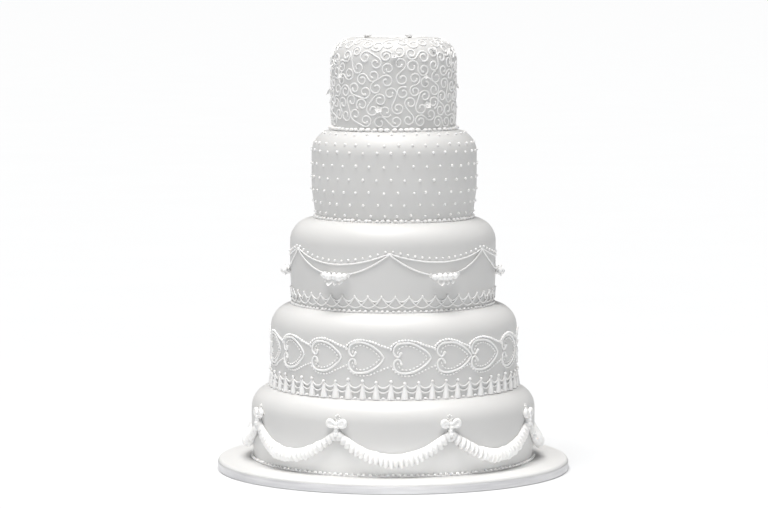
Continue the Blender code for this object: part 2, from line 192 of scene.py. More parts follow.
def foot_heights():
    """The height at which each tier stands."""
    feet, level = {}, BOARD_HEIGHT
    for tier in TIERS:
        feet[tier.name] = level + GAP
        level += GAP + tier.height
    return feet


FEET = foot_heights()


def unevenness(tier, turn, along):
    """How far the rolled icing strays from a true circle, in metres."""
    phase = FEET[tier.name] * 40.0
    waves = (
        np.sin(2 * turn + phase)
        + 0.7 * np.sin(3 * turn - 2 * phase + 18 * along)
        + 0.5 * np.sin(7 * turn + 31 * along + phase)
        + 0.35 * np.sin(13 * turn - 55 * along)
    )
    return 0.00016 * waves


def surface(tier, angle, along, out=0.0):
    """Points on a tier's icing, and its outward normals there.

    along is the distance up the outline from the foot, over the shoulder and across the top."""
    angle, along, out = np.broadcast_arrays(angle, along, out)
    turn = np.radians(angle.astype(float))
    straight = tier.height - tier.shoulder
    bend = np.clip((along - straight) / tier.shoulder, 0.0, math.pi / 2)
    flat = np.maximum(along - straight - tier.shoulder * math.pi / 2, 0.0)
    tuck = tier.tuck * np.maximum(0.0, 1.0 - along / TUCK_HEIGHT) ** TUCK_CURVE
    radius = tier.radius - tuck - tier.shoulder * (1.0 - np.cos(bend)) - flat
    push = out + unevenness(tier, turn, along) * np.clip(radius / 0.05, 0.0, 1.0)
    height = np.minimum(along, straight) + tier.shoulder * np.sin(bend) + push * np.sin(bend)
    radius = radius + push * np.cos(bend)
    level = FEET[tier.name] + height
    points = np.stack((tier.shift + radius * np.sin(turn), -radius * np.cos(turn), level), -1)
    normals = np.stack((np.cos(bend) * np.sin(turn), -np.cos(bend) * np.cos(turn), np.sin(bend)), -1)
    return points, normals


def outline_length(tier):
    """Distance from the foot up the side and across to the middle of the top."""
    return tier.height - tier.shoulder + tier.shoulder * math.pi / 2 + tier.radius - tier.shoulder


def unit(vectors):
    """The vectors at length one."""
    return vectors / np.maximum(np.linalg.norm(vectors, axis=-1, keepdims=True), 1e-12)


class Heap:
    """Geometry gathered for one piece."""

    def __init__(self):
        self.points, self.faces, self.total = [], [], 0

    def add(self, points, *face_lists):
        points = np.asarray(points, float).reshape(-1, 3)
        for faces in face_lists:
            self.faces.extend((np.asarray(faces, int) + self.total).tolist())
        self.points.append(points)
        self.total += len(points)


def grid_faces(rows, columns, closed=True):
    """Quads between rows of points, each row a ring when closed."""
    reach = columns if closed else columns - 1
    row, column = np.meshgrid(np.arange(rows - 1), np.arange(reach), indexing="ij")
    after = (column + 1) % columns
    first = row * columns
    quads = np.stack((first + column, first + after, first + columns + after, first + columns + column), -1)
    return quads.reshape(-1, 4)


def fan_faces(centre, start, columns, turned=False):
    """Triangles from a centre point to a ring of points."""
    here = np.arange(columns)
    after = (here + 1) % columns
    order = (after, here) if turned else (here, after)
    return np.stack((np.full(columns, centre), start + order[0], start + order[1]), -1)


def ringed_body(heap, rings, ends, downwards=True):
    """A closed body from rings of points, and the middle points of its two ends."""
    rows, columns = rings.shape[:2]
    count = rows * columns
    quads = grid_faces(rows, columns)
    heap.add(
        np.concatenate((rings.reshape(-1, 3), ends)),
        quads[:, ::-1] if downwards else quads,
        fan_faces(count, 0, columns, turned=not downwards),
        fan_faces(count + 1, count - columns, columns, turned=downwards),
    )


def tube(heap, path, normals, radius, sides=8):
    """A piped line along a path on a surface, round in section and at its ends."""
    path, normals = np.asarray(path, float), np.asarray(normals, float)
    radius = np.array(np.broadcast_to(radius, len(path)), float)
    tangent = unit(np.gradient(path, axis=0))
    bulge = np.radians((75.0, 40.0))
    start = path[0] - tangent[0] * radius[0] * np.sin(bulge)[:, None]
    end = path[-1] + tangent[-1] * radius[-1] * np.sin(bulge[::-1])[:, None]
    path = np.concatenate((start, path, end))
    radius = np.concatenate((radius[0] * np.cos(bulge), radius, radius[-1] * np.cos(bulge[::-1])))
    tangent, normals = [np.pad(vectors, ((2, 2), (0, 0)), "edge") for vectors in (tangent, normals)]
    side = unit(np.cross(tangent, normals))
    up = np.cross(side, tangent)
    ring = np.linspace(0.0, 2 * math.pi, sides, endpoint=False)
    spread = np.cos(ring)[None, :, None] * side[:, None] + np.sin(ring)[None, :, None] * up[:, None]
    ringed_body(heap, path[:, None] + radius[:, None, None] * spread, path[[0, -1]])


def pearl_template(sides, rings, peak):
    """A unit pearl: a ball with its outer pole drawn out to a small peak."""
    lift = np.linspace(-math.pi / 2, math.pi / 2, rings + 1)[1:-1]
    ring = np.linspace(0.0, 2 * math.pi, sides, endpoint=False)
    x = np.cos(lift)[:, None] * np.cos(ring)
    y = np.cos(lift)[:, None] * np.sin(ring)
    z = np.repeat(np.sin(lift)[:, None], sides, axis=1)
    points = np.stack((x, y, z), -1).reshape(-1, 3)
    last = len(points)
    points = np.concatenate((points, [(0.0, 0.0, -1.0), (0.0, -0.05, 1.0 + peak)]))
    faces = (
        grid_faces(rings - 1, sides),
        fan_faces(last, 0, sides, turned=True),
        fan_faces(last + 1, last - sides, sides),
    )
    return points, faces


def frames(normals, along=None):
    """Matrices whose columns are sideways, up the surface, and out of it."""
    if along is None:
        lying_flat = np.abs(normals[..., 2:]) > 0.98
        upright = np.where(lying_flat, (0.0, 1.0, 0.0), (0.0, 0.0, 1.0))
        side = unit(np.cross(upright, normals))
    else:
        side = unit(along - normals * np.sum(along * normals, -1, keepdims=True))
    up = np.cross(normals, side)
    return np.stack((side, up, normals), -1)


def pearls(heap, points, normals, sizes, along=None, sides=10, rings=5, peak=0.12, jitter=0.07):
    """Piped pearls at the points. sizes is half width, half height and half depth."""
    points, normals = np.atleast_2d(points), np.atleast_2d(normals)
    sizes = np.broadcast_to(np.asarray(sizes, float), (len(points), 3))
    sizes = sizes * (1.0 + jitter * rng.standard_normal((len(points), 1)).clip(-2, 2))
    template, faces = pearl_template(sides, rings, peak)
    shaped = sizes[:, None] * template[None]
    placed = points[:, None] + np.einsum("nij,nkj->nki", frames(normals, along), shaped)
    count = len(template)
    offsets = (np.arange(len(points)) * count)[:, None, None]
    heap.add(placed.reshape(-1, 3), *[(f[None] + offsets).reshape(-1, f.shape[-1]) for f in faces])


def smooth_line(points, count):
    """A curve through the points, resampled evenly along its length."""
    points = np.asarray(points, float)
    padded = np.concatenate((2 * points[:1] - points[1:2], points, 2 * points[-1:] - points[-2:-1]))
    pieces = []
    for p0, p1, p2, p3 in zip(padded, padded[1:], padded[2:], padded[3:]):
        t = np.linspace(0.0, 1.0, 16, endpoint=False)[:, None]
        square = 2 * p0 - 5 * p1 + 4 * p2 - p3
        cube = 3 * p1 - p0 - 3 * p2 + p3
        pieces.append(0.5 * (2 * p1 + (p2 - p0) * t + square * t**2 + cube * t**3))
    pieces.append(points[-1:])
    return even(np.concatenate(pieces), count)


def even(line, count):
    """The line's points again, at even steps along its length."""
    lengths = np.concatenate(([0.0], np.cumsum(np.linalg.norm(np.diff(line, axis=0), axis=1))))
    wanted = np.linspace(0.0, lengths[-1], count)
    return np.stack([np.interp(wanted, lengths, line[:, i]) for i in range(line.shape[1])], -1)


def line_length(line):
    return float(np.linalg.norm(np.diff(line, axis=0), axis=1).sum())


def on_tier(tier, plan, angle, height, out=0.0):
    """Lays a flat plan of (sideways, up) metres on a tier's side round a middle."""
    plan = np.asarray(plan, float)
    return surface(tier, angle + np.degrees(plan[:, 0] / tier.radius), height + plan[:, 1], out)


def add_object(name, data):
    """Puts an object with this data in the scene."""
    made = bpy.data.objects.new(name, data)
    bpy.context.scene.collection.objects.link(made)
    return made


def piece(name, heap, look, slot, *nodes):
    """Makes the gathered geometry a piece of the cake."""
    mesh = bpy.data.meshes.new(name)
    mesh.from_pydata(np.concatenate(heap.points).tolist(), [], heap.faces)
    mesh.validate()
    mesh.shade_smooth()
    mesh.materials.append(look)
    made = add_object(name, mesh)
    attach(made, "root")
    if nodes:
        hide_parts(*nodes)
    return made


class Look:
    """A procedural material built from a few linked nodes."""

    def __init__(self, name, values):
        self.material = bpy.data.materials.new(name)
        self.material.use_nodes = True
        self.tree = self.material.node_tree
        self.shader = self.tree.nodes["Principled BSDF"]
        for socket, value in values.items():
            self.shader.inputs[socket].default_value = value
        self.place = self.node("ShaderNodeTexCoord").outputs["Object"]

    def node(self, kind, inputs=None, **settings):
        made = self.tree.nodes.new(kind)
        for name, value in settings.items():
            setattr(made, name, value)
        for name, value in (inputs or {}).items():
            if isinstance(value, bpy.types.NodeSocket):
                self.tree.links.new(value, made.inputs[name])
            else:
                made.inputs[name].default_value = value
        return made

    def noise(self, scale, detail=3.0):
        inputs = {"Vector": self.place, "Scale": scale, "Detail": detail}
        return self.node("ShaderNodeTexNoise", inputs).outputs["Fac"]

    def ramp(self, factor, dark, light, low=0.3, high=0.7):
        made = self.node("ShaderNodeValToRGB", {"Fac": factor})
        made.color_ramp.elements[0].position = low
        made.color_ramp.elements[0].color = (*dark, 1.0)
        made.color_ramp.elements[1].position = high
        made.color_ramp.elements[1].color = (*light, 1.0)
        return made.outputs["Color"]

    def spread(self, factor, low, high):
        inputs = {"Value": factor, "To Min": low, "To Max": high}
        return self.node("ShaderNodeMapRange", inputs).outputs["Result"]

    def bump(self, height, strength, distance, below=None):
        inputs = {"Height": height, "Strength": strength, "Distance": distance}
        if below is not None:
            inputs["Normal"] = below
        return self.node("ShaderNodeBump", inputs).outputs["Normal"]

    def link(self, output, socket):
        self.tree.links.new(output, self.shader.inputs[socket])


def icing(name, roughness, weight, depth):
    """A look for icing that light goes a few millimetres into."""
    values = {"Subsurface Weight": weight, "Subsurface Radius": depth, "Subsurface Scale": 1.0}
    return Look(name, {"Roughness": roughness, **values})


def fondant_look():
    """Rolled icing: even, faintly mottled, with a soft bloom and the least of pitting."""
    look = icing("rolled_icing", 0.5, 0.12, (0.004, 0.0036, 0.0032))
    look.link(look.ramp(look.noise(9.0, 4.0), (0.675, 0.674, 0.668), (0.705, 0.704, 0.699)), "Base Color")
    look.link(look.spread(look.noise(40.0, 4.0), 0.42, 0.58), "Roughness")
    waves = look.bump(look.noise(30.0, 2.0), 0.25, 0.0006)
    look.link(look.bump(look.noise(1400.0, 2.0), 0.18, 0.00008, waves), "Normal")
    return look.material


def royal_look(name, dark, light):
    """Piped icing: whiter and drier than the rolled, with a fine grain and small dents."""
    look = icing(name, 0.62, 0.10, (0.002, 0.0018, 0.0016))
    look.link(look.ramp(look.noise(60.0, 4.0), dark, light), "Base Color")
    look.link(look.spread(look.noise(300.0, 3.0), 0.5, 0.72), "Roughness")
    dents = look.bump(look.noise(420.0, 3.0), 0.35, 0.00018)
    look.link(look.bump(look.noise(2200.0, 2.0), 0.2, 0.00006, dents), "Normal")
    return look.material


def satin_look():
    """Silver-white satin: a close weave that runs round the board, with soft streaks of shine painted into
    its colour.
    """
    values = {"Roughness": 0.32, "Sheen Weight": 0.2, "Metallic": 0.35, "Anisotropic": 0.5}
    look = Look("ribbon_satin", values)
    flat = look.node("ShaderNodeMapping", {"Vector": look.place, "Scale": (1.0, 1.0, 14.0)})
    inputs = {"Vector": flat.outputs["Vector"], "Scale": 14.0, "Detail": 5.0}
    painted_sheen = look.node("ShaderNodeTexNoise", inputs).outputs["Fac"]
    # Painted sheen: lighter and darker streaks running round the ribbon, laid into its base colour.
    look.link(look.ramp(painted_sheen, (0.56, 0.56, 0.58), (0.76, 0.76, 0.77)), "Base Color")
    look.link(look.spread(look.noise(60.0, 3.0), 0.25, 0.42), "Roughness")
    inputs = {"Vector": look.place, "Scale": 700.0, "Distortion": 1.0}
    weave = look.node("ShaderNodeTexWave", inputs, bands_direction="Z")
    look.link(look.bump(weave.outputs["Fac"], 0.25, 0.00005), "Normal")
    return look.material


fondant, satin = fondant_look(), satin_look()
royal = royal_look("piped_icing", (0.92, 0.918, 0.912), (0.955, 0.953, 0.949))
# The garlands' icing is the piped icing painted darker: painted shade, so their ribs do not wash out under
# the overhead light.
ruffle_painted_shade = royal_look("ruffled_icing_painted_shade", (0.84, 0.839, 0.834), (0.88, 0.879, 0.875))


def piped(name, heap, *nodes, look=royal):
    """Makes the gathered piping a piece of royal icing."""
    piece(name, heap, look, "royal_icing", *nodes)


def lathe(heap, outline, segments, wobble):
    """A closed turned body from (radius, height) pairs, from its top round to its underside."""
    outline = np.asarray(outline, float)
    turn = np.linspace(0.0, 2 * math.pi, segments, endpoint=False)
    radius = np.repeat(outline[:, :1], segments, axis=1)
    height = np.repeat(outline[:, 1:], segments, axis=1)
    radius, height = wobble(turn[None], radius, height)
    rings = np.stack((radius * np.sin(turn), -radius * np.cos(turn), height), -1)
    ringed_body(heap, rings, [(0.0, 0.0, outline[0, 1]), (0.0, 0.0, outline[-1, 1])])


def build_board():
    """The iced drum with its softly rounded rim, and the ribbon pinned round it."""
    bend = np.linspace(0.0, math.pi / 2, 9)[1:]
    flat, level = BOARD_RADIUS - BOARD_RIM, BOARD_HEIGHT - BOARD_RIM_DROP
    outline = [(r, BOARD_HEIGHT) for r in np.linspace(0.004, flat, 10)]
    outline += [(flat + BOARD_RIM * math.sin(b), level + BOARD_RIM_DROP * math.cos(b)) for b in bend]
    outline += [(BOARD_RADIUS, z) for z in (0.008, 0.004, 0.0004)]
    outline += [(BOARD_RADIUS - 0.0004, 0.0), (0.004, 0.0)]

    def ripple(turn, radius, height):
        near_top = height > BOARD_HEIGHT - 0.0001
        soft = 0.00012 * (np.sin(5 * turn + 40 * radius) + np.sin(11 * turn - 70 * radius) - 2.0)
        return radius, height + np.where(near_top, soft, 0.0)

    heap = Heap()
    lathe(heap, outline, 240, ripple)
    piece("iced_board", heap, fondant, "fondant", "cake_board")

    turns = np.linspace(0.0, 2 * math.pi, 361)
    inner = BOARD_RADIUS + GAP
    lap = np.clip((turns - 2 * math.pi + 0.06) / 0.02, 0.0, 1.0) * 0.0001
    ease = 0.00006 * (np.sin(9 * turns) + np.sin(23 * turns + 1.0))
    section = [(0.0, 1.0), (1.0, 1.0), (1.0, 0.5), (1.0, 0.0), (0.0, 0.0)]
    rows = []
    for turn, extra, soft in zip(turns, lap, ease):
        low = RIBBON_LOW + 0.0003 + 0.0002 * math.sin(17 * turn) * math.sin(5 * turn)
        high = RIBBON_HIGH - 0.0002 + 0.0001 * math.sin(7 * turn)
        for out, up in section:
            radius = inner + out * (RIBBON_THICKNESS + extra) + max(soft, -0.00006) * (up == 0.5)
            rows.append((-radius * math.sin(turn), radius * math.cos(turn), low + (high - low) * up))
    heap = Heap()
    count = len(section)
    ends = [list(range(count))[::-1], [len(rows) - count + i for i in range(count)]]
    heap.add(rows, grid_faces(len(turns), count), ends)
    piece("board_ribbon_satin", heap, satin, "ribbon_satin", "board_ribbon").data.shade_flat()


def build_tier(tier):
    """The smooth iced cake under the piping."""
    straight = tier.height - tier.shoulder
    corner = tier.shoulder * math.pi / 2
    side = np.linspace(0.0, straight, 24)
    bend = straight + corner * np.linspace(0.0, 1.0, 18)[1:]
    lid = straight + corner + (tier.radius - tier.shoulder) * np.linspace(0.0, 1.0, 10)[1:-1]
    steps = np.concatenate((side, bend, lid))
    angles = np.linspace(0.0, 360.0, 200, endpoint=False)
    points, _ = surface(tier, angles[None], steps[:, None])
    foot = FEET[tier.name]
    under, _ = surface(tier, angles, 0.0, -0.0008)
    under[:, 2] = foot
    points[0, :, 2] = foot + 0.0006
    ends = [(tier.shift, 0.0, foot), (tier.shift, 0.0, foot + tier.height)]
    heap = Heap()
    ringed_body(heap, np.concatenate((under[None], points)), ends, downwards=False)
    piece(tier.name + "_cake", heap, fondant, "fondant", tier.name)


def border(heap, tier, count, size, rise=0.62, out=0.4, stretch=1.2, jitter=0.08):
    """A ring of piped beads where a tier meets what it stands on."""
    angles = (np.arange(count) + 0.1 * rng.standard_normal(count)) * 360.0 / count
    place = surface(tier, angles, size * rise, size * out)
    pearls(heap, *place, (size * stretch, size, size), sides=9, jitter=jitter)
    fill_joint(heap, tier, size * 0.5)


def fill_joint(heap, tier, radius):
    """A thin line of icing in the corner under a border."""
    turns = np.linspace(0.0, 360.0, 181)
    path, normals = surface(tier, turns, radius * 0.3, radius * 0.3)
    tube(heap, path, normals, radius * (1.0 + 0.1 * np.sin(np.radians(turns) * 41)), sides=7)


def bead_line(heap, tier, plan, angle, height, spacing, size, stretch, sides=8, rings=4):
    """Beads along a flat plan laid on a tier's side."""
    count = max(2, round(line_length(plan) / spacing) + 1)
    spots = even(plan, count)
    points, normals = on_tier(tier, spots, angle, height, size * 0.4)
    along = np.gradient(points, axis=0)
    pearls(heap, points, normals, (size * stretch, size, size), along=along, sides=sides, rings=rings)


def sag_line(tier, start, end, drop, steps=13, out=0.0008):
    """A string that hangs on the icing between two points given as angle and height."""
    t = np.linspace(0.0, 1.0, steps)
    angle = start[0] + (end[0] - start[0]) * t
    height = start[1] + (end[1] - start[1]) * t - drop * 4 * t * (1 - t)
    return surface(tier, angle, height, out)


def spiral(turns, inner, outer, steps):
    """A curl that winds out anticlockwise from its middle and ends at angle zero, heading up."""
    t = np.linspace(0.0, 1.0, steps)
    angle = 2 * math.pi * turns * (t - 1.0)
    reach = inner + (outer - inner) * t**0.75
    return np.stack((reach * np.cos(angle), reach * np.sin(angle)), -1)


def spin(line, turn):
    """The flat line turned about its origin."""
    c, s = math.cos(turn), math.sin(turn)
    return line @ np.array([[c, s], [-s, c]])


def scroll(a, b, size_a, size_b, crossed, mirrored):
    """A line that curls round both middles. Crossed, it passes between them in an S."""
    apart = b - a
    distance = np.linalg.norm(apart)
    heading = math.atan2(apart[1], apart[0])
    far = -size_b if crossed else size_b
    tilt = math.asin(np.clip((size_a - far) / distance, -0.95, 0.95))
    # In this frame the first middle is at the origin and the second one lies along +X.
    leave = -math.pi / 2 + tilt
    one = spin(curl(size_a), leave)
    two = spin(curl(size_b) if crossed else curl(size_b) * (-1, 1), math.pi + leave)[::-1]
    line = np.concatenate((one, two + (distance, 0.0)))
    if mirrored:
        line = line * (1, -1)
    line = even(line, 64)
    for _ in range(2):
        line[1:-1] = (line[:-2] + 2 * line[1:-1] + line[2:]) / 4
    return spin(line, heading) + a


def curl(size):
    """A curl of one turn and a bit."""
    return spiral(rng.uniform(1.0, 1.3), size * 0.34, size, 26)


def spread_nodes(length, low, high, gap, tries, width_at):
    """Middles thrown at random on a strip, none nearer to another than the gap."""
    nodes = np.zeros((0, 2))
    for x, y in rng.uniform((0.0, low), (length, high), (tries, 2)):
        local = width_at(y)
        if rng.random() > local:
            continue
        away = np.abs(nodes[:, 0] - x)
        away = np.minimum(away, length - away) * local
        if len(nodes) and np.hypot(away, nodes[:, 1] - y).min() < gap:
            continue
        nodes = np.vstack((nodes, (x, y)))
    return nodes


def steps_between(nodes, length, width_at):
    """Sideways and upward distances between all pairs of middles."""
    local = np.array([width_at(y) for y in nodes[:, 1]])
    x = nodes[:, None, 0] - nodes[None, :, 0]
    return (x - length * np.round(x / length)) * local[:, None], nodes[:, None, 1] - nodes[None, :, 1]


def settle(nodes, length, low, high, gap, width_at):
    """Moves crowded middles apart until they lie evenly."""
    for _ in range(40):
        x, y = steps_between(nodes, length, width_at)
        far = np.hypot(x, y) + np.eye(len(nodes))
        push = np.clip(gap - far, 0.0, None) * 0.25 / far
        local = np.array([width_at(y) for y in nodes[:, 1]])
        nodes[:, 0] = (nodes[:, 0] + (x * push).sum(axis=1) / local) % length
        nodes[:, 1] = np.clip(nodes[:, 1] + (y * push).sum(axis=1), low, high)
    return nodes


def curl_sizes(apart):
    """Each curl is as large as its nearest neighbour leaves room for."""
    nearest = (apart + np.eye(len(apart))).min(axis=1)
    return np.clip(nearest * rng.uniform(0.46, 0.56, len(apart)), 0.0048, 0.0082)


def pair_up(apart, reach):
    """Random pairs of neighbours, and those left over."""
    left = list(rng.permutation(len(apart)))
    pairs, singles = [], []
    while left:
        here = left.pop()
        near = [i for i in left if apart[here, i] < reach]
        if near:
            other = near[rng.integers(len(near))]
            left.remove(other)
            pairs.append((here, other))
        else:
            singles.append(here)
    return pairs, singles


def scroll_lines(nodes, apart, length):
    """Scrolls and lone curls for a set of middles, on a strip that closes on itself at length."""
    sizes = curl_sizes(apart)
    pairs, singles = pair_up(apart, SCROLL_GAP * 1.75)
    lines = []
    for i, j in pairs:
        a, b = nodes[i], nodes[j].copy()
        b[0] -= length * round((b[0] - a[0]) / length)
        lines.append(scroll(a, b, sizes[i], sizes[j], rng.random() < 0.6, rng.random() < 0.5))
    for i in singles:
        alone = even(curl(sizes[i]), 40) * (1, rng.choice((-1, 1)))
        lines.append(spin(alone, rng.uniform(0.0, 2 * math.pi)) + nodes[i])
    return lines


def pipe_scroll(heap, path, normals):
    """A scroll's line, with a small ball of icing where it starts and stops."""
    girth = SCROLL_LINE * rng.uniform(0.92, 1.1)
    swell = np.interp(np.linspace(0.0, 1.0, len(path)), (0.0, 0.05, 0.95, 1.0), (1.5, 1.0, 1.0, 1.5))
    tube(heap, path, normals, girth * swell, sides=7)


def build_scrollwork(tier):
    """Scrolls over the whole side, and on the lid."""
    circle = 2 * math.pi * tier.radius
    total = outline_length(tier)

    def narrowing(along):
        return -surface(tier, 0.0, float(along))[0][1] / tier.radius

    heap = Heap()
    nodes = spread_nodes(circle, SCROLLS_LOW, SCROLLS_HIGH, SCROLL_GAP, 6000, narrowing)
    nodes = settle(nodes, circle, SCROLLS_LOW - 0.0005, SCROLLS_HIGH, SCROLL_GAP * 1.3, narrowing)
    apart = np.hypot(*steps_between(nodes, circle, narrowing))
    for line in scroll_lines(nodes, apart, circle):
        middle = line.mean(axis=0)
        along = np.maximum(line[:, 1], 0.0056)
        angle = np.degrees((middle[0] + (line[:, 0] - middle[0]) / narrowing(middle[1])) / tier.radius)
        pipe_scroll(heap, *surface(tier, angle, along, SCROLL_LINE * 0.4))
    piped("top_scrollwork_side", heap)

    heap = Heap()
    width = 2 * LID_REACH
    nodes = spread_nodes(width, 0.0, width, SCROLL_GAP, 900, lambda y: 1.0) - LID_REACH
    nodes = nodes[np.hypot(nodes[:, 0], nodes[:, 1]) < LID_REACH]
    apart = np.linalg.norm(nodes[:, None] - nodes[None], axis=-1)
    for line in scroll_lines(nodes, apart, 1e6):
        reach = np.hypot(line[:, 0], line[:, 1])
        angle = np.degrees(np.unwrap(np.arctan2(line[:, 0], -line[:, 1])))
        pipe_scroll(heap, *surface(tier, angle, total - reach, SCROLL_LINE * 0.4))
    piped("top_scrollwork_lid", heap)


def petal_template():
    """A closed cupped petal of unit length that starts at the origin and runs along +Y."""
    rows, columns = 7, 7
    t = np.linspace(0.0, 1.0, rows)
    width = 0.42 * np.sin(math.pi * np.clip(t * 0.86 + 0.10, 0, 1)) ** 0.75
    across = np.linspace(-1.0, 1.0, columns)
    x = width[:, None] * across
    y = np.repeat(t[:, None], columns, axis=1) * (1.0 - 0.06 * across**2)
    cup = 0.20 * across**2 * np.sin(math.pi * t)[:, None] + 0.30 * t[:, None] ** 2
    top = np.stack((x, y, cup + 0.05), -1)
    low = np.stack((x * 0.94, y * 0.97, cup - 0.05), -1)
    points = np.concatenate((top.reshape(-1, 3), low.reshape(-1, 3)))
    quads = grid_faces(rows, columns, closed=False)
    rim = [r * columns for r in range(rows)] + [(rows - 1) * columns + c for c in range(1, columns)]
    rim += [r * columns + columns - 1 for r in range(rows - 2, -1, -1)] + list(range(columns - 2, 0, -1))
    rim = np.array(rim)
    after = np.roll(rim, -1)
    half = rows * columns
    edge = np.stack((rim, rim + half, after + half, after), -1)
    return points, (quads, quads[:, ::-1] + half, edge)


PETAL = petal_template()


def petal(heap, origin, axes, length, width=1.0, lift=1.0):
    """A petal that starts at the origin and runs along the second of its three axes."""
    points = PETAL[0] * (length * width, length, length * lift)
    heap.add(origin + points @ axes.T, *PETAL[1])


def turned_axes(axes, turn):
    """The axes turned about their third one."""
    c, s = math.cos(turn), math.sin(turn)
    return axes @ np.array([[c, -s, 0.0], [s, c, 0.0], [0.0, 0.0, 1.0]])


def tipped_axes(axes, turn):
    """The axes tipped up about their first one."""
    c, s = math.cos(turn), math.sin(turn)
    return axes @ np.array([[1.0, 0.0, 0.0], [0.0, c, -s], [0.0, s, c]])


def blossom(heap, origin, normal, size, tip):
    """A five-petalled sugar blossom with a pearl in its middle."""
    axes = frames(normal[None])[0]
    start = rng.uniform(0.0, 2 * math.pi)
    for k in range(5):
        turned = turned_axes(axes, start + k * 2 * math.pi / 5)
        petal(heap, origin + normal * size * 0.10, tipped_axes(turned, tip), size, width=1.2)
    pearls(heap, origin + normal * size * 0.32, normal, (size * 0.27,) * 3, sides=8, rings=4)


def build_blossoms(tier):
    """Sugar blossoms stuck on the top tier's side, where they face up a little, and flat on its lid."""
    heap = Heap()
    total = outline_length(tier)
    for angle, along, size in SIDE_BLOSSOMS:
        point, normal = surface(tier, angle, along, size * 0.36)
        facing = unit(normal + (0.0, 0.0, 0.5 * (1.0 - normal[2])))
        blossom(heap, point, facing, size, 0.14)
    for x, y in LID_BLOSSOMS:
        point, normal = surface(tier, math.degrees(math.atan2(x, -y)), total - math.hypot(x, y))
        blossom(heap, point, normal, 0.0054 * rng.uniform(0.96, 1.0), 0.08)
    piped("top_blossoms", heap)


def build_top_border(tier):
    """A border of shells, longer than they are high."""
    heap = Heap()
    angles = (np.arange(TOP_SHELLS) + 0.12 * rng.standard_normal(TOP_SHELLS)) * 360.0 / TOP_SHELLS
    size = TOP_SHELL * (1.0 + 0.12 * rng.standard_normal(TOP_SHELLS).clip(-1.5, 1.5))
    place = surface(tier, angles, size * 0.6, size * 0.5)
    pearls(heap, *place, np.stack((size * 1.42, size, size * 1.1), -1))
    fill_joint(heap, tier, 0.0009)
    piped("top_border", heap)


def build_pearl_rows(tier):
    """Rows of pearls up the side and over the shoulder, and a border of beads."""
    heap = Heap()
    count = PEARLS_A_ROW
    for row, along in enumerate(PEARL_ROWS):
        turn = ROW_TURN if row % 2 == 0 else -ROW_TURN
        angles = turn + np.arange(count) * 360.0 / count + rng.normal(0.0, 0.55, count)
        along = along + rng.normal(0.0, 0.0005, count)
        pearls(heap, *surface(tier, angles, along, 0.0003), PEARL, peak=0.2)
    piped("pearl_rows", heap)
    heap = Heap()
    border(heap, tier, *PEARLS_BORDER, jitter=0.1)
    piped("pearl_tier_border", heap)


def build_swags(tier):
    """Two strings to each swag, a shallow and a deep one, with pearls in a row above them."""
    lines, beads = Heap(), Heap()
    for number, swag in enumerate(SWAGS):
        after = SWAGS[(number + 1) % SPRAYS]
        right = after.left + (360.0 if after.left < swag.left else 0.0)
        start, end = (swag.left, swag.height), (right, after.height)
        tube(lines, *sag_line(tier, start, end, swag.upper_sag, steps=40), UPPER_STRING)
        start, end = (swag.left, swag.height - 0.001), (right, after.height - 0.001)
        tube(lines, *sag_line(tier, start, end, swag.lower_sag, steps=44, out=0.001), LOWER_STRING)
        t = (np.arange(SWAG_PEARLS) + 0.5) / SWAG_PEARLS
        level = swag.height + (after.height - swag.height) * t + PEARLS_ABOVE
        height = level - swag.upper_sag * 4 * t * (1 - t) - 0.0012 * np.abs(2 * t - 1) ** 6
        place = surface(tier, swag.left + t * (right - swag.left), height, 0.0004)
        pearls(beads, *place, (SWAG_PEARL,) * 3, jitter=0.08)
    piped("swag_lines", lines)
    piped("swag_pearls", beads)


def build_scallops(tier):
    """Strings looped round the foot, short ones and ones twice as wide, above a border of beads."""
    lines, beads = Heap(), Heap()
    step = 360.0 / SCALLOPS
    angles = np.arange(SCALLOPS) * step + SCALLOP_TURN
    for number, angle in enumerate(angles):
        start, near, far = [(angle + k * step, SCALLOP_TOP) for k in range(3)]
        tube(lines, *sag_line(tier, start, near, SCALLOP_SAGS[0]), SCALLOP_STRINGS[0], sides=7)
        path = sag_line(tier, start, far, SCALLOP_SAGS[1], steps=19, out=0.0006 + 0.0004 * (number % 2))
        tube(lines, *path, SCALLOP_STRINGS[1], sides=7)
    pearls(beads, *surface(tier, angles, SCALLOP_TOP + 0.0004, 0.0009), SCALLOP_PEARL)
    piped("scallop_strings", lines)
    border(beads, tier, *SPRAYS_BORDER)
    piped("scallop_pearls", beads)


def rosebud(heap, origin, axes, size):
    """A plump wound bud: petals wrapped close round a large heart."""
    heart = origin + axes[:, 2] * size * 0.55
    pearls(heap, heart, axes[:, 2], (size * 0.80, size * 0.80, size * 0.90), sides=14, rings=8)
    for ring, (count, tip, length) in enumerate(((3, 1.25, 1.25), (5, 1.02, 1.15))):
        for k in range(count):
            turned = turned_axes(axes, (k + 0.5 * ring) * 2 * math.pi / count + 0.4)
            reach = size * length * rng.uniform(0.94, 1.06)
            petal(heap, origin, tipped_axes(turned, tip), reach, width=1.5)


